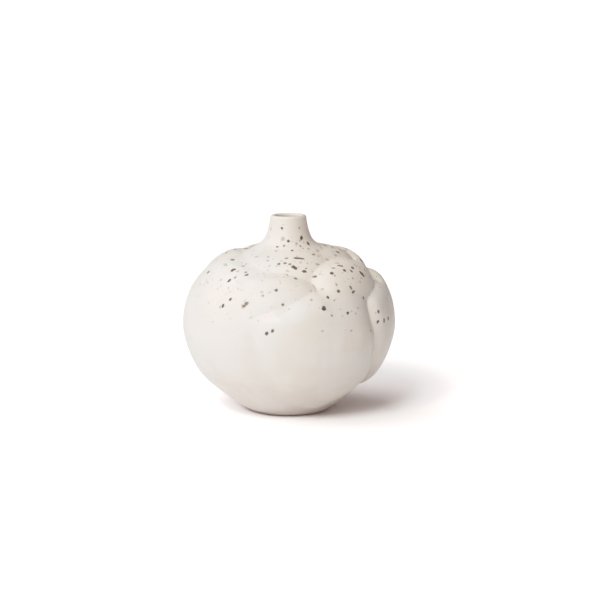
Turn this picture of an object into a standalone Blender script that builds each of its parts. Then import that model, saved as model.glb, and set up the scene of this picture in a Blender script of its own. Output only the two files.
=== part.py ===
"""A squat stoneware bud vase: a hollow pot with a narrow neck, wrapped in overlapping petals of clay.

Lengths are in metres. The vase stands on z = 0 with its axis on z, and its front faces -Y.
A place on the pot is given as seen from the pot's heart: an azimuth from the front, growing towards +X,
and a polar angle down from the top.
"""

import math

import bmesh
import bpy
import numpy as np

# Driving dimensions of the turned body.
HEIGHT = 0.087
HEART_Z = 0.038
POT_R = 0.0434
POT_EQUATOR_Z = 0.039
POT_RISE = 0.0355
POT_DROP = 0.0445
POT_RISE_POWER = 2.2
POT_DROP_POWER = 1.7
POT_BOTTOM_Z = 0.0008
WALL = 0.0034

FOOT_R = 0.0170
FOOT_THICKNESS = 0.0038
FOOT_EDGE = 0.0007

RIM_R = 0.0079
BORE_R = 0.0059
COLLAR_FOOT_Z = 0.0736
COLLAR_THICKNESS = 0.0028
COLLAR_MOUTH_R = 0.0085
BORE_FOOT_Z = 0.0765

LINING = 0.0005
GAP = 0.0003
TURNED_STEPS = 36

# Petals: how far they sit off the pot, their rolled edge, and how they thin towards the foot.
SEAT = 0.0006
THIN_FROM_Z = 0.006
FULL_ABOVE_Z = 0.022
THIN_AT_FOOT = 0.12
PETAL_SEGMENTS = 28
PETAL_RINGS = 12

GLAZE = (0.80, 0.74, 0.68)
INNER_GLAZE = (0.72, 0.66, 0.60)
BARE_CLAY = (0.62, 0.53, 0.45)

# Each petal: centre (azimuth, polar), edge thickness, width of the rolled lip, bulge, and the handles of its
# outline, all round. The list runs from the topmost petal down: each one is cut away where an earlier one lies
# over it.
PETALS = {
    "petal_right": {
        "centre": (90, 96), "edge": 0.0026, "lip": 0.0042, "bulge": 0.0006,
        "outline": [(51.3, 73), (60.5, 64.8), (75, 60.8), (96, 56.3), (116, 60), (129, 74), (131, 98),
                    (124, 116), (108, 129), (88, 134), (68, 129), (56, 115), (51.5, 96)],
    },
    "petal_front": {
        "centre": (21, 98), "edge": 0.0028, "lip": 0.0065, "bulge": 0.0010,
        "outline": [(-3, 71.8), (9, 65.2), (20, 60), (32, 63), (43, 66), (49.5, 74), (52.5, 86), (53, 100),
                    (51.5, 117), (43, 134), (24, 146), (6, 138), (-6, 121.5), (-15, 105), (-18.8, 88),
                    (-17.5, 77.5), (-10, 73.3)],
    },
    "petal_left": {
        "centre": (-56, 98), "edge": 0.0016, "lip": 0.0045, "bulge": 0.0016,
        "outline": [(-14, 77), (-25, 70.6), (-41.5, 63.1), (-58, 58.3), (-77, 55.5), (-98, 57), (-111, 68),
                    (-115, 92), (-109, 118), (-94, 137), (-62, 148), (-22, 149), (6, 140), (4, 112), (-8, 92)],
    },
    "petal_back_right": {
        "centre": (165, 96), "edge": 0.0022, "lip": 0.0045, "bulge": 0.0012,
        "outline": [(163, 56), (182, 61), (197, 74), (201, 98), (193, 125), (176, 144), (152, 145), (132, 131),
                    (122, 104), (126, 76), (142, 61)],
    },
    "petal_back_left": {
        "centre": (226, 98), "edge": 0.0020, "lip": 0.0045, "bulge": 0.0014,
        "outline": [(224, 56), (242, 61), (253, 74), (256, 98), (248, 124), (230, 145), (206, 144), (189, 124),
                    (186, 94), (192, 72), (206, 60)],
    },
    "petal_upper_right": {
        "centre": (54, 56), "edge": 0.0019, "lip": 0.0045, "bulge": 0.0010,
        "outline": [(19.5, 58.3), (18.8, 53), (21.5, 48), (30, 43), (42, 39), (60, 36.5), (76, 39.5), (85, 48),
                    (84, 57), (72, 66), (54, 72), (32, 69)],
    },
    "petal_upper_front": {
        "centre": (-18, 62), "edge": 0.0010, "lip": 0.0050, "bulge": 0.0010,
        "outline": [(19, 58.6), (15.5, 54), (7, 50), (-3, 47.9), (-14, 46.8), (-27, 45.8), (-42, 47), (-56, 53),
                    (-60, 62), (-44, 72), (-20, 78), (6, 70)],
    },
    "petal_upper_left": {
        "centre": (-84, 48), "edge": 0.0010, "lip": 0.0050, "bulge": 0.0012,
        "outline": [(-22, 46.5), (-32, 42.5), (-43, 38.8), (-60, 35), (-78, 32.5), (-98, 32.5), (-116, 36),
                    (-127, 46), (-124, 58), (-106, 64), (-80, 65), (-50, 60), (-26, 54)],
    },
    "petal_upper_back_right": {
        "centre": (124, 52), "edge": 0.0010, "lip": 0.0040, "bulge": 0.0012,
        "outline": [(83, 51), (98, 41.5), (118, 36.5), (140, 38), (156, 46), (158, 59), (144, 68), (122, 70),
                    (100, 67), (86, 60)],
    },
    "petal_upper_back": {
        "centre": (194, 53), "edge": 0.0010, "lip": 0.0040, "bulge": 0.0012,
        "outline": [(152, 54), (164, 42), (186, 37.5), (210, 39), (227, 47), (230, 60), (216, 69), (190, 71),
                    (166, 66)],
    },
    "petal_neck_front": {
        "centre": (6, 38), "edge": 0.0004, "lip": 0.0030, "bulge": 0.0004,
        "outline": [(-25, 32), (-19, 41), (-6, 48), (6, 51), (15, 51.5), (25, 48), (38, 40), (45, 29), (34, 24),
                    (6, 22.5), (-18, 25)],
    },
    "petal_neck_right": {
        "centre": (102, 32), "edge": 0.0004, "lip": 0.0030, "bulge": 0.0004,
        "outline": [(50, 30), (68, 25), (102, 23), (138, 25), (156, 32), (140, 42), (102, 46), (66, 41)],
    },
    "petal_neck_back": {
        "centre": (215, 32), "edge": 0.0004, "lip": 0.0030, "bulge": 0.0004,
        "outline": [(162, 32), (180, 25), (215, 23), (250, 25), (272, 31), (258, 39), (215, 46), (176, 42)],
    },
}


# ---------------------------------------------------------------- the turned body

def pot_radius(z, inset=0.0):
    """Radius of the pot at a height, on its outer face or on a face inset from it."""
    if z >= POT_EQUATOR_Z:
        span, power = POT_RISE - inset, POT_RISE_POWER
    else:
        span, power = POT_DROP - inset, POT_DROP_POWER
    share = min(abs(z - POT_EQUATOR_Z) / span, 1)
    return (POT_R - inset) * (1 - share ** power) ** (1 / power)


def shoulder_height(radius, inset=0.0):
    """Height of the pot's shoulder at a radius."""
    share = (radius / (POT_R - inset)) ** POT_RISE_POWER
    return POT_EQUATOR_Z + (POT_RISE - inset) * (1 - share) ** (1 / POT_RISE_POWER)


def pot_reach(polar, inset=0.0):
    """Distance from the heart to the pot's face in the given directions, found by halving."""
    near = np.zeros_like(polar)
    far = np.full_like(polar, 0.06)
    for _ in range(40):
        middle = (near + far) / 2
        radius = np.array([pot_radius(z, inset) for z in HEART_Z + middle * np.cos(polar)])
        outside = middle * np.sin(polar) > radius
        far = np.where(outside, middle, far)
        near = np.where(outside, near, middle)
    return (near + far) / 2


def pot_arc(top_z, bottom_z, points, inset=0.0):
    """Points down the pot's face between two heights, evenly spaced as seen from the heart."""
    top, bottom = (math.atan2(pot_radius(z, inset), z - HEART_Z) for z in (top_z, bottom_z))
    polar = np.linspace(top, bottom, points)
    reach = pot_reach(polar, inset)
    return list(zip(reach * np.sin(polar), HEART_Z + reach * np.cos(polar)))


def neck_radius(z):
    """Outer radius of the neck, which flares towards the pot."""
    drop = (HEIGHT - z) / 0.010
    return RIM_R + 0.0011 * drop + 0.0013 * drop ** 2.8


# ---------------------------------------------------------------- petal outlines

def closed_curve(handles, per_span=16):
    """A smooth closed curve through the handles (Catmull-Rom)."""
    points = []
    count = len(handles)
    for index in range(count):
        before, start, end, after = (np.array(handles[(index + k) % count]) for k in (-1, 0, 1, 2))
        for step in range(per_span):
            t = step / per_span
            points.append(start + 0.5 * t * (end - before + t * (
                2 * before - 5 * start + 4 * end - after + t * (3 * (start - end) + after - before))))
    return np.array(points)


def petal_reach(petal, direction):
    """How far the petal's edge is from its centre in each direction, in radians of arc.

    Direction 0 points towards +azimuth and a quarter turn points up."""
    azimuth, polar = petal["centre"]
    handles = [((a - azimuth) * math.sin(math.radians(p)), polar - p) for a, p in petal["outline"]]
    curve = np.radians(closed_curve(handles))
    angles = np.arctan2(curve[:, 1], curve[:, 0])
    order = np.argsort(angles)
    lengths = np.hypot(curve[:, 0], curve[:, 1])
    return np.interp(direction, angles[order], lengths[order], period=2 * math.pi)


def thinning(polar):
    """Share of its thickness that a petal keeps: petals thin out towards the foot."""
    height = HEART_Z + pot_reach(polar) * np.cos(polar)
    rise = np.clip((height - THIN_FROM_Z) / (FULL_ABOVE_Z - THIN_FROM_Z), 0, 1)
    return THIN_AT_FOOT + (1 - THIN_AT_FOOT) * rise * rise * (3 - 2 * rise)


def thickness(petal, share, reach):
    """Thickness of a petal at a share of the way from its centre to its edge: a rolled edge, then a swell."""
    inward = np.clip((1 - share) * reach * POT_R / petal["lip"], 0, 1)
    return petal["edge"] * inward * (2 - inward) + petal["bulge"] * (1 - share ** 2)


def place_on_pot(petal, direction, share, growth, lift_of):
    """World places of points given by direction and share of the petal's reach, lifted off the pot."""
    azimuth, centre_polar = (math.radians(angle) for angle in petal["centre"])
    reach = petal_reach(petal, direction) + growth / POT_R
    polar = centre_polar - share * reach * np.sin(direction)
    turn = azimuth + share * reach * np.cos(direction) / np.sin(polar)
    distance = pot_reach(polar) + lift_of(share, reach, polar)
    level = distance * np.sin(polar)
    return np.stack([level * np.sin(turn), -level * np.cos(turn), HEART_Z + distance * np.cos(polar)], -1)


# ---------------------------------------------------------------- making objects

def clear_scene():
    for thing in list(bpy.data.objects):
        bpy.data.objects.remove(thing, do_unlink=True)


def new_collection(name):
    collection = bpy.data.collections.new(name)
    bpy.context.scene.collection.children.link(collection)
    return collection


def clay(name, color, roughness):
    material = bpy.data.materials.new(name)
    material.use_nodes = True
    shader = material.node_tree.nodes["Principled BSDF"]
    shader.inputs["Base Color"].default_value = (*color, 1)
    shader.inputs["Roughness"].default_value = roughness
    shader.inputs["Metallic"].default_value = 0
    return material


def add_mesh(name, mesh, collection, material=None):
    thing = bpy.data.objects.new(name, mesh)
    collection.objects.link(thing)
    if material:
        mesh.materials.append(material)
    return thing


def turned(name, profile, closed, collection, material):
    """A solid of revolution from (radius, height) points that run down its outer side."""
    bm = bmesh.new()
    verts = [bm.verts.new((radius, 0, height)) for radius, height in profile]
    for start, end in zip(verts, verts[1:]):
        bm.edges.new((start, end))
    if closed:
        bm.edges.new((verts[-1], verts[0]))
    mesh = bpy.data.meshes.new(name)
    bm.to_mesh(mesh)
    bm.free()
    thing = add_mesh(name, mesh, collection, material)
    screw = thing.modifiers.new("Turn", "SCREW")
    screw.axis = "Z"
    screw.angle = 2 * math.pi
    screw.steps = TURNED_STEPS
    screw.render_steps = TURNED_STEPS
    screw.use_merge_vertices = True
    screw.merge_threshold = 0.00001
    screw.use_smooth_shade = True
    return thing


def warped_sphere(name, petal, growth, share_of, lift_of):
    """A UV sphere pressed onto the pot: its pole at the petal's centre, its equator at the petal's edge."""
    bm = bmesh.new()
    bmesh.ops.create_uvsphere(bm, u_segments=PETAL_SEGMENTS, v_segments=PETAL_RINGS, radius=1)
    ball = np.array([vert.co for vert in bm.verts])
    direction = np.arctan2(ball[:, 1], ball[:, 0])
    outer = ball[:, 2] > -1e-6
    share = share_of(np.clip(np.hypot(ball[:, 0], ball[:, 1]), 0, 1))
    places = place_on_pot(petal, direction, share, growth, lambda s, r, p: lift_of(s, r, p, ball[:, 2], outer))
    for vert, place in zip(bm.verts, places):
        vert.co = place
    mesh = bpy.data.meshes.new(name)
    bm.to_mesh(mesh)
    bm.free()
    mesh.shade_smooth()
    return mesh


def petal_mesh(name, petal):
    def lift(share, reach, polar, height, outer):
        body = thickness(petal, share, reach) * thinning(polar)
        return SEAT + np.where(outer, body, 0)
    return warped_sphere(name, petal, 0, lambda share: share, lift)


def cutter_mesh(name, petal):
    """The room a petal takes from those below it: its outline and the gap, with straight sides."""
    side = math.sin(math.pi * (PETAL_RINGS / 2 - 1) / PETAL_RINGS)

    def lift(share, reach, polar, height, outer):
        return np.select([height > 0.1, height < -0.1], [0.008, -0.002], 0.002)
    return warped_sphere(name, petal, GAP, lambda share: np.minimum(share / side, 1), lift)


def far_apart(petal, other):
    """True if two outlines can't meet."""
    (azimuth, polar), (azimuth2, polar2) = petal["centre"], other["centre"]
    a, b, turn = math.radians(polar), math.radians(polar2), math.radians(azimuth - azimuth2)
    angle = math.acos(math.cos(a) * math.cos(b) + math.sin(a) * math.sin(b) * math.cos(turn))
    all_round = np.linspace(0, 2 * math.pi, 64)
    return angle > 1.1 * (petal_reach(petal, all_round).max() + petal_reach(other, all_round).max())


def add_petals(parts, cutters):
    laid = []
    for name, petal in PETALS.items():
        thing = add_mesh(name, petal_mesh(name, petal), parts, clay(name + "_clay", GLAZE, 0.6))
        for cutter, owner in laid:
            if not far_apart(petal, owner):
                cut = thing.modifiers.new("Under " + cutter.name, "BOOLEAN")
                cut.operation = "DIFFERENCE"
                cut.object = cutter
        cutter = add_mesh("room_for_" + name, cutter_mesh("room_for_" + name, petal), cutters)
        cutter.hide_render = True
        cutter.display_type = "WIRE"
        laid.append((cutter, petal))


# ---------------------------------------------------------------- the turned sub-parts

def foot_disc(parts):
    """The floor slab: flat underneath, with eased edges."""
    top = FOOT_THICKNESS
    profile = [(0, top), (FOOT_R - FOOT_EDGE, top), (FOOT_R, top - FOOT_EDGE), (FOOT_R, FOOT_EDGE),
               (FOOT_R - FOOT_EDGE, 0), (0, 0)]
    turned("foot_disc", profile, False, parts, clay("bare_clay", BARE_CLAY, 0.85))


def pot_wall(parts):
    """The outer face down to the foot, the hole for the floor, and the inner face back up to the neck."""
    neck_hole_r = neck_radius(COLLAR_FOOT_Z) + GAP
    foot_hole_r = FOOT_R + GAP
    outside = pot_arc(shoulder_height(neck_hole_r), POT_BOTTOM_Z, 20)
    inner_floor_z = FOOT_THICKNESS + GAP
    inside = pot_arc(shoulder_height(neck_hole_r, WALL), inner_floor_z, 15, WALL)
    inside[-1] = (foot_hole_r, inner_floor_z)
    hole = [(foot_hole_r, POT_BOTTOM_Z)]
    turned("pot_wall", outside + hole + inside[::-1], True, parts, clay("pot_clay", GLAZE, 0.6))


def neck_collar(parts):
    """The neck: a rounded lip, a flare down to the pot, and a bore that widens into the hollow."""
    lip = (RIM_R - BORE_R) / 2
    lip_centre = (RIM_R + BORE_R) / 2

    def lip_point(turn):
        return (lip_centre + lip * math.sin(turn), HEIGHT - lip + lip * math.cos(turn))
    outer_lip = [lip_point(math.radians(angle)) for angle in (0, 30, 60)]
    inner_lip = [lip_point(math.radians(angle)) for angle in (-90, -60, -30)]
    flare = [(neck_radius(z), z) for z in np.linspace(HEIGHT - lip, COLLAR_FOOT_Z, 9)]
    bottom = COLLAR_FOOT_Z - COLLAR_THICKNESS
    flange = [(neck_radius(COLLAR_FOOT_Z), bottom), (COLLAR_MOUTH_R, bottom)]
    funnel = [((COLLAR_MOUTH_R + BORE_R) / 2 - 0.0006, (bottom + BORE_FOOT_Z) / 2), (BORE_R, BORE_FOOT_Z)]
    turned("neck_collar", outer_lip + flare + flange + funnel + inner_lip, True, parts,
           clay("neck_clay", GLAZE, 0.6))


def glaze_lining(parts):
    """A thin bowl of glaze over the inner wall and the floor, open at the neck."""
    outer_inset = WALL + GAP
    inner_inset = outer_inset + LINING
    opening_r = neck_radius(COLLAR_FOOT_Z) + 2 * GAP
    outer_floor_z = FOOT_THICKNESS + GAP
    inner_floor_z = outer_floor_z + LINING
    outside = pot_arc(shoulder_height(opening_r, outer_inset), outer_floor_z, 14, outer_inset)
    inside = pot_arc(shoulder_height(opening_r, inner_inset), inner_floor_z, 14, inner_inset)
    floor = [(0, outer_floor_z), (0, inner_floor_z)]
    profile = inside[::-1] + outside
    turned("glaze_lining", [floor[1]] + profile + [floor[0]], False, parts,
           clay("inner_glaze", INNER_GLAZE, 0.35))


def main():
    clear_scene()
    parts = new_collection("bud_vase")
    cutters = new_collection("cutters")
    foot_disc(parts)
    pot_wall(parts)
    neck_collar(parts)
    glaze_lining(parts)
    add_petals(parts, cutters)


main()
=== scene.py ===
"""The look of the bud vase: a fine glazed surface on every petal, the pot and the neck, with iron specks.

Lengths are in metres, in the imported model's frame: the vase stands on z = 0 with its axis on z, and its front
faces -Y. A place on the vase is given as seen from the pot's heart: an azimuth from the front, growing
towards +X, and a polar angle down from the top. The shape repeats the driving dimensions of the clay solids.
"""

import math
import random

import bmesh
import bpy
import numpy as np
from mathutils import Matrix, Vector


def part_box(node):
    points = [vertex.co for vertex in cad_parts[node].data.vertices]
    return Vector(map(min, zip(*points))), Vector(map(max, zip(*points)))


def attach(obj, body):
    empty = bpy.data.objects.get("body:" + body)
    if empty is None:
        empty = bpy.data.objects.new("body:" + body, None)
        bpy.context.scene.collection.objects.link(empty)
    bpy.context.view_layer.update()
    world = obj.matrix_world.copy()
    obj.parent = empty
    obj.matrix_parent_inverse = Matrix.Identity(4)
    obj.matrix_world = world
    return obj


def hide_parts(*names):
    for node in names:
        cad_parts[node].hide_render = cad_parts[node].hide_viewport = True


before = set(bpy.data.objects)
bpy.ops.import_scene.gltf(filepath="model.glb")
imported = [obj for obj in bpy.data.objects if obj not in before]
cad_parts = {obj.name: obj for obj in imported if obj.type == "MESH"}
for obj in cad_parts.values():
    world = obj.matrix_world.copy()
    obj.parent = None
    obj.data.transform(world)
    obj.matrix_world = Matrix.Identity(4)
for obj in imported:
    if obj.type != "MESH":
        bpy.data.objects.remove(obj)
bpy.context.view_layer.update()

# ---------------------------------------------------------------- dimensions shared with the clay solids

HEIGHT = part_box("neck_collar")[1].z
FOOT_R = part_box("foot_disc")[1].x

# The pot: its heart, its widest level, how far and how squarely it closes above and below that level, its
# wall, its gap to other solids, and the heights between which its inner face runs.
HEART_Z = 0.038
POT_R = 0.0434
POT_EQUATOR_Z = 0.039
POT_RISE = 0.0355
POT_DROP = 0.0445
POT_RISE_POWER = 2.2
POT_DROP_POWER = 1.7
POT_BOTTOM_Z = 0.0008
WALL = 0.0034
GAP = 0.0003
INNER_FLOOR_Z = 0.0043
INNER_TOP_Z = 0.0703

# The neck collar: its rim, its bore, the flange that sits on the pot, and how it flares towards the pot: by a
# slope and a curve, for each step down from the rim, up to the last step.
RIM_R = 0.0079
BORE_R = 0.0059
COLLAR_FOOT_Z = 0.0736
COLLAR_THICKNESS = 0.0028
COLLAR_MOUTH_R = 0.0085
BORE_FOOT_Z = 0.0765
FLARE_STEP = 0.010
FLARE_LAST_STEP = 2.2
FLARE_SLOPE = 0.0011
FLARE_CURVE = 0.0013
FLARE_POWER = 2.8

# The petals: how far they sit off the pot, and how they thin out towards the foot.
SEAT = 0.0006
THIN_FROM_Z = 0.006
FULL_ABOVE_Z = 0.022
THIN_AT_FOOT = 0.12

# ---------------------------------------------------------------- the glaze's own dimensions

# How thick the glaze lies on faces and round edges, and how softly it fills the corners.
COAT = 0.00015
EDGE_COAT = 0.0004
NECK_FILLET = 0.0040
PETAL_FILLET = 0.0007

# How far from its edge a petal presses down its neighbours, and how it lies on them.
PRESS_WIDTH = 0.0125
LAP = 0.0002
LAP_SOFTNESS = 0.0006

# What shows that it was made by hand: how far the shoulder leans out on the right, how uneven the surface is,
# over how many radians below the neck both set in, and how far the neck is out of round and its rim out of
# level.
LEAN = 0.0005
WAVE = 0.00010
RIPPLE = 0.00002
UNEVEN_OVER = 0.3
OUT_OF_ROUND = 0.006
RIM_SWAY = 0.00012
RIM_SWAY_DEPTH = 0.004

# A petal's edge zone, drawn more finely, and its skirt, where the glaze runs on past the edge out of sight.
EDGE_ZONE = 0.004
SKIRT_START = 0.0007
SKIRT_END = 0.0013
SKIRT_SOFTNESS = 0.00012

# How a surface sinks under the petals that cover it, a hair at first, then steeply, and how far a petal's
# back lies under the pot's face.
SINK = 0.000015
SINK_START = 0.0010
SINK_WIDTH = 0.0002
TUCK_START = 0.0002
TUCK_SOFTNESS = 0.0005
TUCK_DEPTH = 0.0015
BACK_LIFT = -0.0012

# Where the neck's surface takes over from the pot's, and how far each runs on past that, as polar angles in
# radians.
NECK_SEAM = math.radians(17.5)
POT_OVERRUN = 0.05
NECK_OVERRUN = 0.06

# The line where the glaze is thin and shows the clay: how far inside a petal's edge it runs, and how wide.
THIN_RIDGE = 0.0012
THIN_RIDGE_WIDTH = 0.0010

# Each petal: its centre (azimuth and polar angle in degrees), the thickness of its edge, the width of its
# rolled lip, its bulge, how far it presses down what it lies on, and the handles of its outline, all round.
# A handle's third number, if any, says how many times wider and thinner the lip is there, where the petal was
# smeared into its neighbour. The list runs from the topmost petal down, as they overlap.
PETALS = {
    "petal_right": {
        "centre": (90, 96), "edge": 0.0026, "lip": 0.0080, "bulge": 0.0006, "press": 0.0023,
        "outline": [(55.5, 72.5), (71, 64.5), (81, 60.8), (96, 56.3), (116, 60), (129, 74), (131, 98),
                    (124, 116), (109, 128), (93, 133), (77, 129), (66.5, 113), (56.8, 96)],
    },
    "petal_front": {
        "centre": (21, 98), "edge": 0.0028, "lip": 0.0100, "bulge": 0.0010, "press": 0.0008,
        "outline": [(-3, 71.8), (9, 65.2, 1.2), (20, 60, 1.6), (32, 62.5, 2.2), (43, 64.5, 2.5), (54, 70, 2),
                    (62, 84), (67, 100), (70, 116), (60, 133), (30, 145), (6, 138), (-6, 121.5),
                    (-15, 105, 1.2), (-18.8, 88, 1.2), (-17.5, 77.5, 1.2), (-10, 73.3)],
    },
    "petal_left": {
        "centre": (-56, 98), "edge": 0.0016, "lip": 0.0080, "bulge": 0.0016, "press": 0.0003,
        "outline": [(-14, 76), (-25, 70.6, 1.5), (-41.5, 63.1, 3), (-58, 58.3, 3), (-77, 55.5, 2.5),
                    (-98, 57), (-111, 68), (-115, 92), (-109, 118), (-94, 137), (-62, 148), (-22, 149),
                    (8, 140), (14, 118), (10, 96), (0, 83)],
    },
    "petal_back_right": {
        "centre": (165, 96), "edge": 0.0022, "lip": 0.0080, "bulge": 0.0012, "press": 0.0008,
        "outline": [(163, 56), (182, 61), (197, 74), (201, 98), (193, 125), (176, 144), (152, 145),
                    (132, 131), (122, 104), (126, 76), (142, 61)],
    },
    "petal_back_left": {
        "centre": (226, 98), "edge": 0.0020, "lip": 0.0080, "bulge": 0.0014, "press": 0.0008,
        "outline": [(224, 56), (242, 61), (253, 74), (256, 98), (248, 124), (230, 145), (206, 144),
                    (189, 124), (186, 94), (192, 72), (206, 60)],
    },
    "petal_upper_right": {
        "centre": (54, 56), "edge": 0.0018, "lip": 0.0085, "bulge": 0.0010, "press": 0.0005,
        "outline": [(19.5, 58.3, 1.6), (18.8, 53, 1.8), (21.5, 48, 1.6), (30, 43, 1.5), (42, 39, 1.7),
                    (60, 36.5, 2), (76, 39.5, 2), (85, 48), (84, 60), (76, 74), (56, 84), (36, 82), (23, 70)],
    },
    "petal_upper_front": {
        "centre": (-18, 62), "edge": 0.0010, "lip": 0.0070, "bulge": 0.0010, "press": 0.0002,
        "outline": [(24, 62, 1.7), (19, 56, 2.2), (8, 50.3, 2), (-3, 48, 2), (-14, 46.8, 2.5), (-27, 45.8, 5),
                    (-42, 47, 6), (-56, 53, 6), (-60, 62, 3), (-48, 78), (-20, 92), (8, 88), (24, 74)],
    },
    "petal_upper_left": {
        "centre": (-84, 48), "edge": 0.0010, "lip": 0.0070, "bulge": 0.0012, "press": 0.0002,
        "outline": [(-22, 46.5, 6), (-32, 42.5, 6), (-43, 38.8, 6), (-60, 35, 4), (-78, 32.5, 1.5),
                    (-98, 32.5), (-116, 36), (-127, 46), (-124, 58), (-108, 68), (-80, 72), (-50, 68),
                    (-26, 56, 2)],
    },
    "petal_upper_back_right": {
        "centre": (124, 52), "edge": 0.0010, "lip": 0.0065, "bulge": 0.0012, "press": 0.0003,
        "outline": [(83, 51), (98, 41.5), (118, 36.5), (140, 38), (156, 46), (158, 59), (144, 68), (122, 70),
                    (100, 67), (86, 60)],
    },
    "petal_upper_back": {
        "centre": (194, 53), "edge": 0.0010, "lip": 0.0065, "bulge": 0.0012, "press": 0.0003,
        "outline": [(152, 54), (164, 42), (186, 37.5), (210, 39), (227, 47), (230, 60), (216, 69), (190, 71),
                    (166, 66)],
    },
    "petal_neck_front": {
        "centre": (6, 38), "edge": -0.0004, "lip": 0.0100, "bulge": 0.0005, "press": 0.0,
        "outline": [(-25, 32), (-19, 41), (-6, 48), (6, 51), (15, 51.5), (25, 48), (38, 40), (45, 29),
                    (34, 24), (6, 22.5), (-18, 25)],
    },
    "petal_neck_right": {
        "centre": (102, 32), "edge": -0.0004, "lip": 0.0100, "bulge": 0.0005, "press": 0.0,
        "outline": [(50, 30), (68, 25), (102, 23), (138, 25), (156, 32), (140, 42), (102, 46), (66, 41)],
    },
    "petal_neck_back": {
        "centre": (215, 32), "edge": -0.0004, "lip": 0.0100, "bulge": 0.0005, "press": 0.0,
        "outline": [(162, 32), (180, 25), (215, 23), (250, 25), (272, 31), (258, 39), (215, 46), (176, 42)],
    },
}

# The petals from the lowest up.
LAYERS = list(reversed(PETALS.values()))


# ---------------------------------------------------------------- the turned body

def smooth_max(a, b, width):
    """The larger of two values, with a soft passage between them."""
    near = np.maximum(width - np.abs(a - b), 0)
    return np.maximum(a, b) + near * near / (4 * width)


def smooth_step(x):
    """From 0 to 1 as x goes from 0 to 1, with a soft start and end."""
    x = np.clip(x, 0, 1)
    return x * x * (3 - 2 * x)


def pot_radius(z, inset=0.0):
    """Radius of the pot at a height, on its outer face or on a face inset from it."""
    upper = z >= POT_EQUATOR_Z
    span = np.where(upper, POT_RISE - inset, POT_DROP - inset)
    power = np.where(upper, POT_RISE_POWER, POT_DROP_POWER)
    share = np.minimum(np.abs(z - POT_EQUATOR_Z) / span, 1)
    return (POT_R - inset) * (1 - share ** power) ** (1 / power)


def neck_radius(z):
    """Outer radius of the neck, which flares towards the pot."""
    steps = np.clip((HEIGHT - z) / FLARE_STEP, 0, FLARE_LAST_STEP)
    return RIM_R + FLARE_SLOPE * steps + FLARE_CURVE * steps ** FLARE_POWER


def by_direction(radius, z):
    """A meridian as a function: the distance from the heart in a polar direction."""
    polar = np.arctan2(radius, z - HEART_Z)
    order = np.argsort(polar)
    reach = np.hypot(radius, z - HEART_Z)
    return lambda angle: np.interp(angle, polar[order], reach[order])


def outer_meridian():
    """The glazed outline of the pot and the neck, by polar angle, with a soft corner between the two."""
    low, high = np.linspace(0, POT_EQUATOR_Z + POT_RISE, 4000), np.linspace(0.05, HEIGHT, 3000)
    pot, neck = by_direction(pot_radius(low), low), by_direction(neck_radius(high), high)
    return lambda polar: smooth_max(pot(polar), neck(polar), NECK_FILLET) + COAT


def inner_meridian():
    """The outline of the pot's inner face, by polar angle."""
    z = np.linspace(0.002, POT_EQUATOR_Z + POT_RISE - WALL, 6000)
    return by_direction(pot_radius(z, WALL), z)


outer_reach = outer_meridian()
inner_reach = inner_meridian()


def turned_point(azimuth, radius, z):
    """Places given by their azimuth, their distance from the axis and their height."""
    return np.stack([radius * np.sin(azimuth), -radius * np.cos(azimuth), z], -1)


def sphere_point(azimuth, polar, distance):
    """Places given by their direction and distance from the heart."""
    return turned_point(azimuth, distance * np.sin(polar), HEART_Z + distance * np.cos(polar))


# ---------------------------------------------------------------- petals as a relief over the pot

def closed_curve(handles, per_span=24):
    """A smooth closed curve through the handles (Catmull-Rom)."""
    points = []
    count = len(handles)
    for index in range(count):
        before, start, end, after = (np.array(handles[(index + k) % count]) for k in (-1, 0, 1, 2))
        for step in range(per_span):
            t = step / per_span
            points.append(start + 0.5 * t * (end - before + t * (
                2 * before - 5 * start + 4 * end - after + t * (3 * (start - end) + after - before))))
    return np.array(points)


def read_outline(petal):
    """Stores the petal's edge as its distance in each direction from the centre, with its lip's widening."""
    azimuth, polar = petal["centre"]
    handles = []
    for a, p, *smear in petal["outline"]:
        handles.append(((a - azimuth) * math.sin(math.radians(p)), polar - p, *(smear or [1])))
    curve = closed_curve(handles)
    angles = np.arctan2(curve[:, 1], curve[:, 0])
    order = np.argsort(angles)
    petal["angles"] = angles[order]
    petal["lengths"] = np.radians(np.hypot(curve[:, 0], curve[:, 1])[order])
    petal["smears"] = curve[order, 2]


def edge_reach(petal, direction):
    """Metres from the petal's centre to its glazed edge, along the pot."""
    return np.interp(direction, petal["angles"], petal["lengths"], period=2 * math.pi) * POT_R + EDGE_COAT


def inward(petal, azimuth, polar):
    """How far a place is inside the petal's edge, in metres and as a share of the way in, and how smeared."""
    turn, centre_polar = (math.radians(angle) for angle in petal["centre"])
    across = (np.mod(azimuth - turn + math.pi, 2 * math.pi) - math.pi) * np.sin(polar)
    up = centre_polar - polar
    bearing = np.arctan2(up, across)
    reach = edge_reach(petal, bearing)
    inside = reach - np.hypot(across, up) * POT_R
    share = np.clip(inside / reach, 0, 1)
    smear = np.interp(bearing, petal["angles"], petal["smears"], period=2 * math.pi)
    return inside, share, 1 + (smear - 1) * (1 - share) ** 2


def thinning(polar):
    """Share of its thickness that a petal keeps: petals thin out towards the foot."""
    height = HEART_Z + outer_reach(polar) * np.cos(polar)
    grown = smooth_step((height - THIN_FROM_Z) / (FULL_ABOVE_Z - THIN_FROM_Z))
    return THIN_AT_FOOT + (1 - THIN_AT_FOOT) * grown


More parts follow.
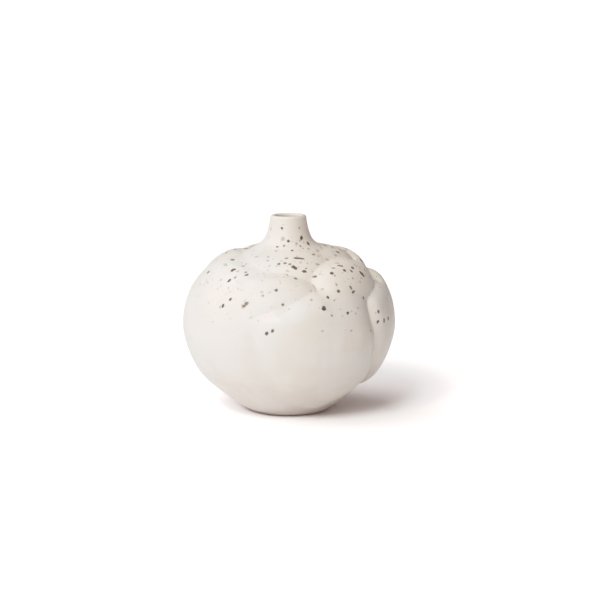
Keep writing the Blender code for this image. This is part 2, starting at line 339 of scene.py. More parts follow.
def relief(azimuth, polar):
    """How far the petals, laid in turn, stand off the pot: each presses down what it lies on and rolls up."""
    lift = np.zeros(np.broadcast(azimuth, polar).shape)
    thin = thinning(polar)
    for petal in LAYERS:
        inside, share, smear = inward(petal, azimuth, polar)
        flat = 1 - np.clip(smooth_max(inside, 0, PETAL_FILLET) / (petal["lip"] * smear), 0, 1)
        body = petal["edge"] / smear + petal["bulge"] * share * (2 - share)
        pressed = lift - thin * petal["press"] * np.clip(1 + inside / PRESS_WIDTH, 0, 1) ** 2
        own = smooth_max(SEAT + thin * body, pressed + LAP, LAP_SOFTNESS)
        lift = pressed + (own - pressed) * (1 - flat ** 3)
    return lift


def handmade(azimuth, polar):
    """The slight unevenness of a surface smoothed by hand."""
    waves = (np.sin(3 * azimuth + 2.1 * polar + 0.4) + 0.7 * np.sin(5 * azimuth - 4.2 * polar + 1.9)
             + 0.5 * np.sin(2 * azimuth + 9.1 * polar + 4.0))
    ripples = np.sin(31 * azimuth + 5 * np.sin(2.3 * polar) + 0.8) * np.sin(4 * polar + 1.1 * azimuth)
    lean = LEAN * np.sin(azimuth) * np.maximum(np.cos(polar), 0)
    return (WAVE * waves + RIPPLE * ripples + lean) * smooth_step((polar - NECK_SEAM) / UNEVEN_OVER)


def tuck(beyond, softness=TUCK_SOFTNESS):
    """How deep a surface dives once it is beyond the edge of what it shows."""
    return np.minimum(np.maximum(beyond, 0) ** 2 / (2 * softness), TUCK_DEPTH)


def glazed_distance(azimuth, polar, covers=()):
    """Distance from the heart of the finished surface, diving where covering petals lie over it."""
    distance = outer_reach(polar) + handmade(azimuth, polar) + relief(azimuth, polar)
    for petal in covers:
        inside = inward(petal, azimuth, polar)[0]
        sunk = SINK * smooth_step((inside + SINK_START) / SINK_WIDTH)
        distance = distance - sunk - tuck(inside + TUCK_START)
    return distance


# ---------------------------------------------------------------- meshes

def lofted(name, rings, caps=(), attribute=None, loop=False):
    """A closed solid through rings of points. caps are its first and last pole, or loop joins the ends."""
    rings = np.asarray(rings)
    count, around = rings.shape[:2]
    points = rings.reshape(-1, 3)
    faces = []
    for row in range(count if loop else count - 1):
        a, b = row * around, (row + 1) % count * around
        for k in range(around):
            n = (k + 1) % around
            faces.append((a + k, a + n, b + n, b + k))
    if len(caps):
        points = np.vstack([points, np.asarray(caps)])
        last = (count - 1) * around
        for k in range(around):
            n = (k + 1) % around
            faces.append((count * around, n, k))
            faces.append((count * around + 1, last + k, last + n))
    mesh = bpy.data.meshes.new(name)
    mesh.from_pydata(points.tolist(), [], faces)
    if attribute is not None:
        layer = mesh.attributes.new("thin_glaze", "FLOAT", "POINT")
        layer.data.foreach_set("value", np.concatenate([attribute.ravel(), np.zeros(len(caps))]))
    bm = bmesh.new()
    bm.from_mesh(mesh)
    bmesh.ops.recalc_face_normals(bm, faces=bm.faces)
    bm.to_mesh(mesh)
    bm.free()
    mesh.shade_smooth()
    thing = bpy.data.objects.new(name, mesh)
    bpy.context.scene.collection.objects.link(thing)
    return thing


def glazed_petal(name, petal, covers, material):
    """The petal's surface, ring by ring from its centre to its skirt, then its back to the centre again."""
    around = 320
    direction = np.linspace(0, 2 * math.pi, around, endpoint=False)
    reach = edge_reach(petal, direction)
    shares = np.linspace(0.012, 1, 64, endpoint=False)
    steps = np.linspace(-EDGE_ZONE, SKIRT_END, 34)
    turn, centre_polar = (math.radians(angle) for angle in petal["centre"])

    def place(length):
        polar = centre_polar - length * np.sin(direction) / POT_R
        return turn + length * np.cos(direction) / np.sin(polar) / POT_R, polar
    rings, thin = [], []
    for length in [share * (reach - EDGE_ZONE) for share in shares] + [reach + step for step in steps]:
        azimuth, polar = place(length)
        distance = glazed_distance(azimuth, polar, covers)
        distance = distance - tuck(length - reach - SKIRT_START, SKIRT_SOFTNESS)
        rings.append(sphere_point(azimuth, polar, distance))
        thin.append(np.exp(-((reach - length - THIN_RIDGE) / THIN_RIDGE_WIDTH) ** 2))
    for share in (0.98, 0.8, 0.6, 0.4, 0.2):
        azimuth, polar = place(share * reach)
        rings.append(sphere_point(azimuth, polar, outer_reach(polar) + BACK_LIFT))
        thin.append(np.zeros(around))
    centre = [np.array([angle]) for angle in (turn, centre_polar)]
    front = sphere_point(*centre, glazed_distance(*centre, covers))
    back = sphere_point(*centre, outer_reach(centre[1]) + BACK_LIFT)
    thing = lofted("glazed_" + name, rings, np.vstack([front, back]), np.array(thin))
    return finish_piece(thing, material, "speckled_glaze", name)


def glazed_pot(material):
    """The pot's outer face from the neck to the foot, and its inner face back up."""
    around = 480
    azimuth = np.linspace(0, 2 * math.pi, around, endpoint=False)
    foot_polar = math.atan2(FOOT_R + 3 * GAP, POT_BOTTOM_Z - HEART_Z)
    rings = []
    for polar in np.linspace(NECK_SEAM - POT_OVERRUN, foot_polar, 300):
        polar = np.full(around, polar)
        distance = glazed_distance(azimuth, polar, LAYERS) - tuck((NECK_SEAM - polar) * POT_R)
        rings.append(sphere_point(azimuth, polar, distance))
    rings.append(turned_point(azimuth, np.full(around, FOOT_R + GAP), np.full(around, POT_BOTTOM_Z)))
    inner_foot = math.atan2(FOOT_R + GAP, INNER_FLOOR_Z - HEART_Z)
    inner_neck = math.atan2(neck_radius(COLLAR_FOOT_Z) + GAP, INNER_TOP_Z - HEART_Z)
    for polar in np.linspace(inner_foot, inner_neck, 24):
        polar = np.full(around, polar)
        rings.append(sphere_point(azimuth, polar, inner_reach(polar)))
    thing = lofted("glazed_pot", rings, attribute=np.zeros((len(rings), around)), loop=True)
    return finish_piece(thing, material, "speckled_glaze", "pot_wall")


def glazed_neck(material):
    """The neck with its rounded lip, its bore and the flange that meets the pot."""
    around = 192
    azimuth = np.linspace(0, 2 * math.pi, around, endpoint=False)
    lip = (RIM_R - BORE_R) / 2 + COAT
    lip_centre = (RIM_R + BORE_R) / 2
    lip_z = HEIGHT - (RIM_R - BORE_R) / 2
    rings, thin = [], []

    def ring(radius, z, worn=0.0):
        """One turn, a little out of round as a thrown neck is."""
        out = radius * (1 + OUT_OF_ROUND * np.sin(2 * azimuth + 0.7))
        sway = z + RIM_SWAY * np.sin(azimuth + 1.0) * (z > lip_z - RIM_SWAY_DEPTH)
        rings.append(turned_point(azimuth, out, sway))
        thin.append(np.full(around, worn))
    for angle in np.radians(np.linspace(-90, 90, 19)):
        ring(lip_centre + lip * math.sin(angle), lip_z + lip * math.cos(angle), math.cos(angle) ** 2)
    below_lip_z = lip_z - 0.0005
    top = math.atan2(float(neck_radius(below_lip_z)), below_lip_z - HEART_Z)
    for polar in np.linspace(top, NECK_SEAM + NECK_OVERRUN, 60):
        around_polar = np.full(around, polar)
        distance = outer_reach(polar) + relief(azimuth, around_polar)
        distance = distance - tuck((polar - NECK_SEAM) * POT_R)
        rings.append(sphere_point(azimuth, around_polar, distance))
        thin.append(np.zeros(around))
    bottom = COLLAR_FOOT_Z - COLLAR_THICKNESS
    ring(float(neck_radius(COLLAR_FOOT_Z)), bottom)
    for angle in np.linspace(0, 1, 9):
        ring(COLLAR_MOUTH_R + (BORE_R - COAT - COLLAR_MOUTH_R) * math.sin(angle * math.pi / 2),
             bottom + (BORE_FOOT_Z - bottom) * (1 - math.cos(angle * math.pi / 2)))
    for z in np.linspace(BORE_FOOT_Z, lip_z, 12)[1:-1]:
        ring(BORE_R - COAT, z)
    thing = lofted("glazed_neck", rings, attribute=np.array(thin), loop=True)
    return finish_piece(thing, material, "speckled_glaze", "neck_collar")


def finish_piece(thing, material, slot, *nodes):
    """Gives a new piece its material and its body, and takes away the clay solids it stands for; slot is not
    used.
    """
    thing.data.materials.append(material)
    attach(thing, "root")
    if nodes:
        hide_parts(*nodes)
    return thing


# ---------------------------------------------------------------- iron specks

# A speck is a low dome with two rings of points: each ring's size and how far it lies over the surface, and
# the same for its crown and its root. Its points lie this many metres out for each millimetre of its length.
FLECK_SIDES = 12
FLECK_RINGS = ((1.25, -0.000006), (0.70, 0.000020))
FLECK_CROWN = 0.000028
FLECK_ROOT = -0.00006
FLECK_SCALE = 0.0007
FLECK_RAGGEDNESS = 0.18

# Specks strewn at random: how many are tried, between which azimuths, the least length and what chance adds
# to it in millimetres, and the least and greatest darkness. The first lot is for the unseen side, and the
# second adds the faintest ones in front.
STREWN_SPECKS = (500, (86, 274), 0.55, 1.1, (0.3, 0.95))
FAINT_SPECKS = (330, (-88, 88), 0.45, 0.55, (0.12, 0.40))

# They are strewn evenly over the ball, so the cosine of their polar angle is even, between these values.
# Their widths are these shares of their lengths, and the power makes small ones commoner than large ones.
STREWN_SEED = 41
STREWN_COSINES = (-0.2, 0.97)
STREWN_SLIMNESS = (0.6, 1.0)
STREWN_POWER = 2.2

# How thickly specks and freckles lie: none below the first height, and all of them from the second up.
SPECKS_FROM_Z = 0.036
SPECKS_FULL_Z = 0.066
FRECKLES_FULL_Z = 0.070

# Specks in plain view: azimuth and polar angle in degrees, length and width in millimetres, lean in degrees,
# and how dark they are from 0 to 1. They were picked out in the photo by eye. A separate program with a model
# of this camera turned their places there into these angles, which were rounded; a few were moved by hand.
PLAIN_SPECKS = [
    # On the neck, from the top down.
    (-18.5, 11, 1.0, 0.8, 150, 0.8), (34, 11, 0.8, 0.7, 0, 0.35), (-58, 11.5, 1.1, 0.9, 90, 0.3),
    (35, 14, 1.5, 1.1, 80, 0.95), (-14, 14, 1.3, 1.2, 0, 0.4), (28, 15, 0.7, 0.7, 0, 0.35),
    (0, 15, 1.0, 0.9, 0, 0.8), (18, 16.5, 0.8, 0.9, 0, 0.4), (48, 17.5, 1.4, 1.0, 75, 0.7),
    (-9, 18, 0.9, 1.0, 0, 0.5), (25, 18.5, 0.9, 1.0, 0, 0.45), (-22.5, 19, 1.0, 0.9, 100, 0.55),
    # Where the neck meets the shoulder.
    (37, 22, 1.0, 1.1, 0, 0.35), (6.5, 23, 0.9, 1.3, 0, 0.75), (-21, 23.5, 0.9, 1.2, 0, 0.3),
    (49.5, 25.5, 1.1, 1.3, 0, 0.4), (33, 30.5, 1.6, 1.1, 15, 0.5), (37, 32.5, 1.5, 0.8, 10, 0.2),
    (-25.5, 31.5, 1.0, 1.2, 0, 0.35), (-41, 32.5, 1.1, 1.1, 0, 0.35), (-2, 34, 1.2, 1.1, 0, 0.5),
    (10.5, 34.2, 3.0, 1.1, 174, 0.85), (15, 34.8, 1.6, 1.0, 165, 0.7), (-22, 36, 1.0, 1.1, 0, 0.35),
    (45, 36.5, 1.2, 1.1, 140, 0.3), (-7, 36.5, 0.8, 0.8, 0, 0.35), (12, 38.5, 0.9, 0.9, 0, 0.35),
    (-3, 39, 1.1, 1.1, 0, 0.6), (-9, 39.5, 1.1, 1.2, 20, 0.6), (1.5, 40, 1.0, 1.1, 150, 0.55),
    (28, 40.5, 1.4, 1.0, 0, 0.35), (-18, 41, 0.8, 0.8, 0, 0.35), (5, 42.4, 1.9, 1.3, 140, 0.95),
    (6.6, 43.6, 1.2, 1.1, 60, 0.9), (13.5, 46, 1.6, 1.1, 165, 0.8), (5.5, 51.5, 1.4, 1.1, 150, 0.55),
    (-63, 41.5, 1.7, 1.4, 0, 0.55), (-43, 44, 1.3, 1.0, 30, 0.45), (-105, 26, 1.6, 1.2, 0, 0.4),
    # On the left shoulder and the broad left petal.
    (-60, 47, 2.2, 0.9, 165, 0.35), (-47, 49, 1.9, 1.5, 60, 0.9), (-35, 49, 1.1, 1.0, 35, 0.5),
    (-32.5, 51, 1.5, 1.1, 45, 0.65), (-40, 54, 1.0, 1.0, 45, 0.5), (-43.5, 56.5, 1.5, 1.1, 70, 0.85),
    (-74, 55.5, 1.4, 1.3, 0, 0.65), (-41.8, 49.5, 1.0, 0.9, 0, 0.35), (-51.5, 57, 0.9, 0.8, 0, 0.35),
    (-7.3, 60.5, 1.2, 1.1, 0, 0.6),
    (-16, 62, 0.9, 0.7, 0, 0.35), (-15, 64, 1.0, 0.8, 0, 0.45), (-36, 67.5, 1.3, 1.0, 20, 0.65),
    (-40, 71.5, 1.4, 1.1, 80, 0.9), (-42, 72.5, 1.0, 0.6, 100, 0.45), (-24.4, 68.9, 1.6, 1.2, 40, 0.62),
    (-25.8, 70.3, 1.5, 1.1, 15, 0.62), (-26.5, 71.5, 0.8, 0.6, 0, 0.35), (-3, 68.5, 0.9, 0.9, 0, 0.6),
    (0.5, 71, 0.8, 0.6, 0, 0.35), (-21, 76, 1.2, 0.8, 30, 0.2), (-11, 84, 1.3, 1.1, 65, 0.9),
    (-8, 82.5, 1.3, 0.9, 70, 0.75),
    # On the upper right petal.
    (76.5, 34, 1.5, 1.4, 0, 0.6), (64.5, 35, 1.2, 1.2, 0, 0.35), (88, 29.5, 1.3, 1.6, 0, 0.35),
    (65, 42.5, 1.4, 1.2, 0, 0.25), (45.5, 43.7, 1.7, 0.9, 150, 0.4), (44.5, 47, 2.3, 1.0, 145, 0.65),
    (37, 47.5, 1.4, 0.8, 165, 0.5), (25, 49.5, 1.1, 0.8, 0, 0.3), (21, 50.3, 1.7, 0.9, 165, 0.6),
    (93, 49, 2.2, 1.8, 90, 0.6), (53.5, 50.3, 1.2, 1.2, 0, 0.85), (44, 50.8, 1.2, 1.1, 100, 0.75),
    (33, 51, 1.3, 1.2, 0, 0.9), (49.5, 52.2, 1.4, 0.9, 110, 0.65), (34, 53, 0.9, 0.7, 90, 0.4),
    (59.5, 52, 0.8, 0.7, 0, 0.3), (66, 53.5, 1.3, 1.0, 90, 0.35), (58.5, 55.5, 2.9, 1.3, 112, 1.0),
    (18.3, 57, 1.8, 0.7, 110, 0.3), (32.5, 58.5, 1.1, 0.8, 85, 0.4), (52, 59.5, 0.9, 0.9, 0, 0.3),
    (23, 59.5, 1.0, 0.8, 0, 0.3), (67.5, 58.5, 1.1, 1.0, 0, 0.3), (42, 61.6, 1.5, 0.9, 110, 0.6),
    (43, 64.2, 1.7, 0.9, 20, 0.7), (32.5, 62.5, 1.2, 1.1, 0, 0.7), (51.5, 68.3, 1.1, 1.0, 90, 0.65),
    # On the front and right petals.
    (24.5, 65.3, 1.1, 1.0, 140, 0.7), (20.2, 71.4, 1.6, 1.4, 90, 1.0), (34.8, 75, 1.1, 1.0, 75, 0.8),
    (37.5, 74.5, 0.8, 0.6, 0, 0.3), (40, 76, 0.9, 0.7, 75, 0.35), (24.3, 75.5, 0.9, 0.8, 150, 0.45),
    (18, 83, 0.9, 0.6, 0, 0.35), (35, 84.4, 1.0, 0.7, 0, 0.4), (50.5, 86.5, 1.0, 0.8, 90, 0.45),
    (59.2, 77.5, 1.2, 0.9, 105, 0.65), (57.4, 77.8, 0.7, 0.6, 0, 0.3), (58.2, 82.9, 1.2, 0.9, 55, 0.75),
    (62.8, 83, 1.5, 1.0, 75, 0.85), (68, 82.8, 1.5, 1.0, 90, 0.65),
]


def on_surface(place, lift):
    """Drops places onto the finished surface along the line from the heart, and lifts them off it."""
    x, y, z = place[..., 0], place[..., 1], place[..., 2] - HEART_Z
    azimuth, polar = np.arctan2(x, -y), np.arctan2(np.hypot(x, y), z)
    return sphere_point(azimuth, polar, glazed_distance(azimuth, polar) + lift)


def surface_frames(azimuth, polar):
    """Points on the finished surface, with their sideways and upward directions."""
    def at(a, p):
        return sphere_point(a, p, glazed_distance(a, p))

    def unit(v):
        return v / np.linalg.norm(v, axis=-1, keepdims=True)
    small = 0.004
    side = unit(at(azimuth + small, polar) - at(azimuth - small, polar))
    out = np.cross(side, at(azimuth, polar - small) - at(azimuth, polar + small))
    return at(azimuth, polar), side, unit(np.cross(out, side))


def speck_share(z):
    """How thickly iron specks lie at a height: dense round the neck and on the shoulder, none low down."""
    return float(smooth_step((z - SPECKS_FROM_Z) / (SPECKS_FULL_Z - SPECKS_FROM_Z)))


def strewn_specks(rng, count, azimuths, least, spread, darkness):
    """Specks strewn at random over a sector of the vase."""
    specks = []
    for _ in range(count):
        azimuth, cosine = rng.uniform(*azimuths), rng.uniform(*STREWN_COSINES)
        polar = math.degrees(math.acos(cosine))
        length = least + spread * rng.random() ** STREWN_POWER
        width = length * rng.uniform(*STREWN_SLIMNESS)
        speck = (azimuth, polar, length, width, rng.uniform(0, 180), rng.uniform(*darkness))
        if rng.random() < speck_share(HEART_Z + float(outer_reach(math.radians(polar))) * cosine):
            specks.append(speck)
    return specks


def iron_specks(material):
    """Every speck as a very low, slightly ragged dome in the glaze, darkest in its middle."""
    rng = random.Random(STREWN_SEED)
    specks = PLAIN_SPECKS + strewn_specks(rng, *STREWN_SPECKS) + strewn_specks(rng, *FAINT_SPECKS)
    specks = np.array(specks)
    azimuth, polar, lean = np.radians(specks[:, [0, 1, 4]]).T
    half_length, half_width = (specks[:, column] * FLECK_SCALE for column in (2, 3))
    point, side, up = surface_frames(azimuth, polar)
    along = side * np.cos(lean)[:, None] + up * np.sin(lean)[:, None]
    across = up * np.cos(lean)[:, None] - side * np.sin(lean)[:, None]
    ragged = np.array([[1 + rng.uniform(-FLECK_RAGGEDNESS, FLECK_RAGGEDNESS) for _ in range(FLECK_SIDES)]
                       for _ in specks])
    turn = np.linspace(0, 2 * math.pi, FLECK_SIDES, endpoint=False)
    arm = (along[:, None] * (np.cos(turn) * half_length[:, None] * ragged)[..., None]
           + across[:, None] * (np.sin(turn) * half_width[:, None] * ragged)[..., None])
    rings = [on_surface(point[:, None] + arm * size, lift) for size, lift in FLECK_RINGS]
    poles = [on_surface(point, lift)[:, None] for lift in (FLECK_CROWN, FLECK_ROOT)]
    points = np.concatenate(rings + poles, 1)
    shade = np.repeat([0.0, 1.0, 1.0, 0.0], [FLECK_SIDES, FLECK_SIDES, 1, 1]) * specks[:, 5:]
    faces = []
    for first in range(0, points.shape[0] * points.shape[1], points.shape[1]):
        for k in range(FLECK_SIDES):
            low, low_next = first + k, first + (k + 1) % FLECK_SIDES
            high, high_next = low + FLECK_SIDES, low_next + FLECK_SIDES
            faces.append((low, low_next, high_next, high))
            faces.append((high, high_next, first + 2 * FLECK_SIDES))
            faces.append((low_next, low, first + 2 * FLECK_SIDES + 1))
    mesh = bpy.data.meshes.new("iron_specks")
    mesh.from_pydata(points.reshape(-1, 3).tolist(), [], faces)
    layer = mesh.attributes.new("iron", "FLOAT", "POINT")
    layer.data.foreach_set("value", shade.ravel())
    mesh.shade_smooth()
    thing = bpy.data.objects.new("iron_specks", mesh)
    bpy.context.scene.collection.objects.link(thing)
    return finish_piece(thing, material, "speckled_glaze")


# ---------------------------------------------------------------- materials

# Colours, as the shader takes them.
GLAZE = (0.535, 0.503, 0.470)
GLAZE_WARM = (0.517, 0.476, 0.432)
GLAZE_TOASTED = (0.548, 0.494, 0.436)
GLAZE_THIN = (0.520, 0.455, 0.395)
IRON = (0.060, 0.038, 0.026)
IRON_PALE = (0.135, 0.112, 0.088)
INNER_GLAZE = (0.560, 0.510, 0.465)
BARE_CLAY = (0.420, 0.330, 0.260)
SANDY_CLAY = (0.520, 0.430, 0.350)

# The toasted part of the glaze: where it starts and where it is full, up the vase and across it.
TOASTED_Z = (0.052, 0.066)
TOASTED_X = (-0.016, 0.010)

# The foot's edge, where the glaze was wiped off: fully bare at the second height.
WIPED_Z = (0.0014, 0.0004)

# Freckles in the glaze and grog in the clay: the cell that each has to itself, its least and greatest radius,
# the share of cells that have one, and how strongly it shows. Then how soft the rim of each is, and how
# strongly the glaze's are shaken out of round.
FINE_FRECKLES = (0.0017, 0.00012, 0.00034, 0.42, 0.60)
COARSE_FRECKLES = (0.0042, 0.00020, 0.00060, 0.40, 0.75)
GROG = (0.0016, 0.0001, 0.0003, 0.35, 0.6)
FRECKLE_RIM = 0.00012
FRECKLE_SHAKE = 0.0009


def new_material(name):
    """A fresh material, with its node tree and its shader."""
    material = bpy.data.materials.new(name)
    material.use_nodes = True
    return material, material.node_tree, material.node_tree.nodes["Principled BSDF"]


def node(tree, kind, inputs=(), output=0, **settings):
    """Adds a node with the given settings and inputs (values or sockets), and returns one of its outputs."""
    made = tree.nodes.new("ShaderNode" + kind)
    for key, value in settings.items():
        setattr(made, key, value)
    for key, value in dict(inputs).items():
        if isinstance(value, bpy.types.NodeSocket):
            tree.links.new(value, made.inputs[key])
        else:
            made.inputs[key].default_value = value
    return made.outputs[output]


def math_node(tree, operation, first, second):
    """The result of one operation on two numbers or sockets."""
    return node(tree, "Math", {0: first, 1: second}, operation=operation)


def noise(tree, place, scale, detail, rough=0.5):
    """A cloudy value round 0.5, with lumps about 1 / scale metres across."""
    return node(tree, "TexNoise", {"Vector": place, "Scale": scale, "Detail": detail, "Roughness": rough})


def mixed(tree, factor, first, second):
    """A colour between two, each a tuple or a socket."""
    # A Mix node takes its two colours at inputs 6 and 7, and gives the mixed one at output 2.
    inputs = {0: factor}
    for index, colour in ((6, first), (7, second)):
        inputs[index] = (*colour, 1) if isinstance(colour, tuple) else colour
    return node(tree, "Mix", inputs, output=2, data_type="RGBA")


def ramped(tree, value, low, high, to_low=0.0, to_high=1.0):
    """Takes low to to_low and high to to_high, smoothly, and keeps to those values beyond."""
    inputs = {"Value": value, 1: low, 2: high, 3: to_low, 4: to_high}
    return node(tree, "MapRange", inputs, interpolation_type="SMOOTHSTEP")


def freckled(tree, place, colour, sizes, share=None):
    """Lays pale iron freckles over a colour, at most one to a cell, and fewer where share is lower."""
    cell, smallest, largest, density, strength = sizes
    if share is not None:
        density = math_node(tree, "MULTIPLY", share, density)
    cells = tree.nodes.new("ShaderNodeTexVoronoi")
    cells.inputs["Scale"].default_value = 1 / cell
    tree.links.new(place, cells.inputs["Vector"])
    chance = node(tree, "SeparateColor", {0: cells.outputs["Color"]}, output="Green")
    dice = node(tree, "SeparateColor", {0: cells.outputs["Color"]}, output="Red")
    present = math_node(tree, "LESS_THAN", chance, density)
    radius = ramped(tree, dice, 0.0, 1.0, smallest / cell, largest / cell)
    edge = math_node(tree, "SUBTRACT", radius, cells.outputs["Distance"])
    spot = ramped(tree, edge, 0.0, FRECKLE_RIM / cell)
    spot = math_node(tree, "MULTIPLY", spot, present)
    return mixed(tree, math_node(tree, "MULTIPLY", spot, strength), colour, IRON_PALE)


def bump(tree, height, distance, strength, below=None):
    """The normal of a surface with bumps as high as the distance, on top of the bumps below, if any."""
    inputs = {"Height": height, "Distance": distance, "Strength": strength}
    if below is not None:
        inputs["Normal"] = below
    return node(tree, "Bump", inputs)


def speckled_glaze():
    """Satin off-white glaze: cloudy, thinner and warmer on edges, with freckles thickest near the neck."""
    material, tree, shader = new_material("speckled_glaze")
    place = node(tree, "TexCoord", output="Object")
    height = node(tree, "SeparateXYZ", {0: place}, output="Z")
    across = node(tree, "SeparateXYZ", {0: place}, output="X")
    cloud = ramped(tree, noise(tree, place, 70, 4), 0.38, 0.66)
    colour = mixed(tree, cloud, GLAZE, GLAZE_WARM)
    toasted = math_node(tree, "MULTIPLY", ramped(tree, height, *TOASTED_Z), ramped(tree, across, *TOASTED_X))
    colour = mixed(tree, toasted, colour, GLAZE_TOASTED)
    thin = node(tree, "Attribute", output="Fac", attribute_name="thin_glaze")
    worn = math_node(tree, "MULTIPLY", thin, ramped(tree, noise(tree, place, 160, 3), 0.3, 0.75, 0.05, 0.45))
    colour = mixed(tree, worn, colour, GLAZE_THIN)
    colour = mixed(tree, ramped(tree, height, *WIPED_Z), colour, BARE_CLAY)

    # Freckles are laid out by a place that is shaken a little, so that they come out ragged.
    drift = node(tree, "TexNoise", {"Vector": place, "Scale": 1400.0, "Detail": 1.0}, output="Color")
    shaken = node(tree, "VectorMath", {0: drift, 1: (0.5, 0.5, 0.5)}, operation="SUBTRACT")
    shaken = node(tree, "VectorMath", {0: shaken, 1: place}, operation="ADD")
    wobbly = node(tree, "Mix", {0: FRECKLE_SHAKE, 4: place, 5: shaken}, output=1, data_type="VECTOR")
    rich = ramped(tree, height, SPECKS_FROM_Z, FRECKLES_FULL_Z)
    for sizes in (FINE_FRECKLES, COARSE_FRECKLES):
        colour = freckled(tree, wobbly, colour, sizes, rich)
    tree.links.new(colour, shader.inputs["Base Color"])

    dull = ramped(tree, noise(tree, place, 240, 3), 0.35, 0.70, 0.46, 0.60)
    tree.links.new(dull, shader.inputs["Roughness"])
    stretched = node(tree, "Mapping", {"Vector": place, "Scale": (1.0, 1.0, 0.16)})
    strokes = bump(tree, noise(tree, stretched, 190, 2), 0.00035, 0.35)
    skin = bump(tree, noise(tree, place, 900, 3, 0.6), 0.00007, 0.5, strokes)
    tree.links.new(skin, shader.inputs["Normal"])
    shader.inputs["Specular IOR Level"].default_value = 0.42
    return material


def iron():
    """Iron that has bled through the glaze, darkest in the middle of each speck and gone at its rim."""
    material, tree, shader = new_material("iron_specks")
    place = node(tree, "TexCoord", output="Object")
    depth = node(tree, "Attribute", output="Fac", attribute_name="iron")
    patchy = ramped(tree, noise(tree, place, 900, 2), 0.3, 0.7, 0.80, 1.0)
    shade = mixed(tree, ramped(tree, depth, 0.2, 0.8), IRON_PALE, IRON)
    depth = math_node(tree, "MULTIPLY", ramped(tree, depth, 0.0, 0.75), patchy)
    tree.links.new(mixed(tree, depth, GLAZE_WARM, shade), shader.inputs["Base Color"])
    tree.links.new(ramped(tree, depth, 0, 1, 0.5, 0.65), shader.inputs["Roughness"])
    return material


def inner_glaze():
    """The glaze that was poured inside: cloudy like the outer one, and glossier."""
    material, tree, shader = new_material("inner_glaze_coat")
    place = node(tree, "TexCoord", output="Object")
    cloud = ramped(tree, noise(tree, place, 120, 4), 0.35, 0.7)
    tree.links.new(mixed(tree, cloud, INNER_GLAZE, GLAZE_WARM), shader.inputs["Base Color"])
    tree.links.new(ramped(tree, cloud, 0, 1, 0.28, 0.42), shader.inputs["Roughness"])
    return material


def bare_clay():
    """Unglazed stoneware: sandy, matte, with the faint rings of trimming."""
    material, tree, shader = new_material("bare_stoneware")
    place = node(tree, "TexCoord", output="Object")
    sand = ramped(tree, noise(tree, place, 1500, 3, 0.7), 0.35, 0.65)
    colour = freckled(tree, place, mixed(tree, sand, BARE_CLAY, SANDY_CLAY), GROG)
    tree.links.new(colour, shader.inputs["Base Color"])
    rings = node(tree, "TexWave", {"Vector": place, "Scale": 420.0, "Distortion": 1.5, "Detail": 2.0},
                 output="Fac", wave_type="RINGS", rings_direction="Z")
    turned = bump(tree, rings, 0.00008, 0.4)
    tree.links.new(bump(tree, sand, 0.00006, 0.6, turned), shader.inputs["Normal"])
    tree.links.new(ramped(tree, sand, 0, 1, 0.8, 0.95), shader.inputs["Roughness"])
    return material


# ---------------------------------------------------------------- stage, light and camera

# The camera looks a little down on the vase from in front. The lens and the sensor are in millimetres.
CAMERA_ELEVATION = 10.5
CAMERA_DISTANCE = 0.95
CAMERA_AIM = (0.00516, 0, 0.04885)
SENSOR_WIDTH = 36
LENS = 128.25

# The floor: its size, its colour, and a faint warm glow that tints its shadows.
FLOOR_SIZE = 30
FLOOR_COLOUR = (0.97, 0.96, 0.96, 1)
FLOOR_GLOW_COLOUR = (1.0, 0.62, 0.58, 1)
FLOOR_GLOW = 0.06

# Each lamp: azimuth, elevation, strength, how many degrees it is wide, and colour.
LAMPS = {
    "key": (-27, 38, 3.0, 28, (0.99, 0.997, 0.985)),
    "fill": (-95, 52, 2.4, 80, (0.962, 0.961, 0.990)),
    "top": (60, 68, 0.45, 100, (1.0, 0.98, 0.95)),
}
ROOM_COLOUR = (1.0, 0.89, 0.82, 1)
ROOM_STRENGTH = 0.14

# How bright a surface comes out, for how brightly it is lit: the highlights are held back.
TONES = [(0.0, 0.0), (0.30, 0.30), (0.60, 0.60), (0.80, 0.765), (1.00, 0.87), (1.15, 0.94),
         (1.25, 0.985), (1.40, 1.09)]


def direction(azimuth, elevation):
    """The unit vector towards a place in the room, azimuth from the front (-Y) towards +X."""
    a, e = math.radians(azimuth), math.radians(elevation)
    return Vector((math.sin(a) * math.cos(e), -math.cos(a) * math.cos(e), math.sin(e)))


def face(thing, back):
    """Turns a camera or lamp to look against the given direction."""
    thing.rotation_euler = back.to_track_quat("Z", "Y").to_euler()


def add_camera():
    """The camera that took the picture: in front of the vase and a little above it."""
    camera = bpy.data.objects.new("camera", bpy.data.cameras.new("camera"))
    bpy.context.scene.collection.objects.link(camera)
    camera.data.sensor_width = SENSOR_WIDTH
    camera.data.lens = LENS
    back = direction(0, CAMERA_ELEVATION)
    camera.location = Vector(CAMERA_AIM) + back * CAMERA_DISTANCE
    face(camera, back)
    bpy.context.scene.camera = camera


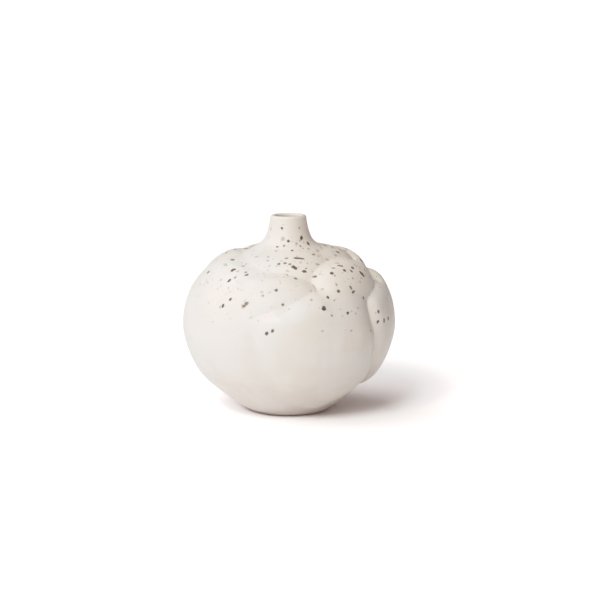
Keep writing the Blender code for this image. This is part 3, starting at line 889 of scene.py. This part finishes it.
def add_floor():
    """The plain pale table top."""
    bpy.ops.mesh.primitive_plane_add(size=FLOOR_SIZE)
    floor = bpy.context.object
    floor.name = "floor"
    material, _, shader = new_material("floor")
    shader.inputs["Base Color"].default_value = FLOOR_COLOUR
    shader.inputs["Roughness"].default_value = 0.9
    shader.inputs["Specular IOR Level"].default_value = 0.2
    shader.inputs["Emission Color"].default_value = FLOOR_GLOW_COLOUR
    shader.inputs["Emission Strength"].default_value = FLOOR_GLOW
    floor.data.materials.append(material)


def add_lamp(name, azimuth, elevation, energy, width, colour):
    """A soft lamp far away, in a direction from the vase."""
    lamp = bpy.data.objects.new(name, bpy.data.lights.new(name, "SUN"))
    bpy.context.scene.collection.objects.link(lamp)
    lamp.data.energy = energy
    lamp.data.angle = math.radians(width)
    lamp.data.color = colour
    face(lamp, direction(azimuth, elevation))


def add_light():
    """The lamps, and the light that the room's walls give back."""
    for name, values in LAMPS.items():
        add_lamp(name, *values)
    world = bpy.data.worlds.new("studio")
    bpy.context.scene.world = world
    world.use_nodes = True
    background = world.node_tree.nodes["Background"]
    background.inputs["Color"].default_value = ROOM_COLOUR
    background.inputs["Strength"].default_value = ROOM_STRENGTH


def expose():
    """Sets the film: the tones above, on the curve that all three colours share."""
    view = bpy.context.scene.view_settings
    view.view_transform = "Standard"
    view.use_curve_mapping = True
    view.curve_mapping.use_clip = False
    curve = view.curve_mapping.curves[3]
    curve.points[0].location, curve.points[1].location = TONES[0], TONES[-1]
    for tone in TONES[1:-1]:
        curve.points.new(*tone)
    view.curve_mapping.update()


def main():
    """Sets the stage, lays the glaze over the clay solids, and gives the bare and inner solids their look."""
    add_camera()
    add_floor()
    add_light()
    expose()
    for petal in PETALS.values():
        read_outline(petal)
    glaze = speckled_glaze()
    names = list(PETALS)
    for index, name in enumerate(names):
        covers = [PETALS[other] for other in names[:index]]
        glazed_petal(name, PETALS[name], covers, glaze)
    glazed_pot(glaze)
    glazed_neck(glaze)
    iron_specks(iron())
    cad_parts["glaze_lining"].material_slots[0].material = inner_glaze()
    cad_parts["foot_disc"].material_slots[0].material = bare_clay()


main()
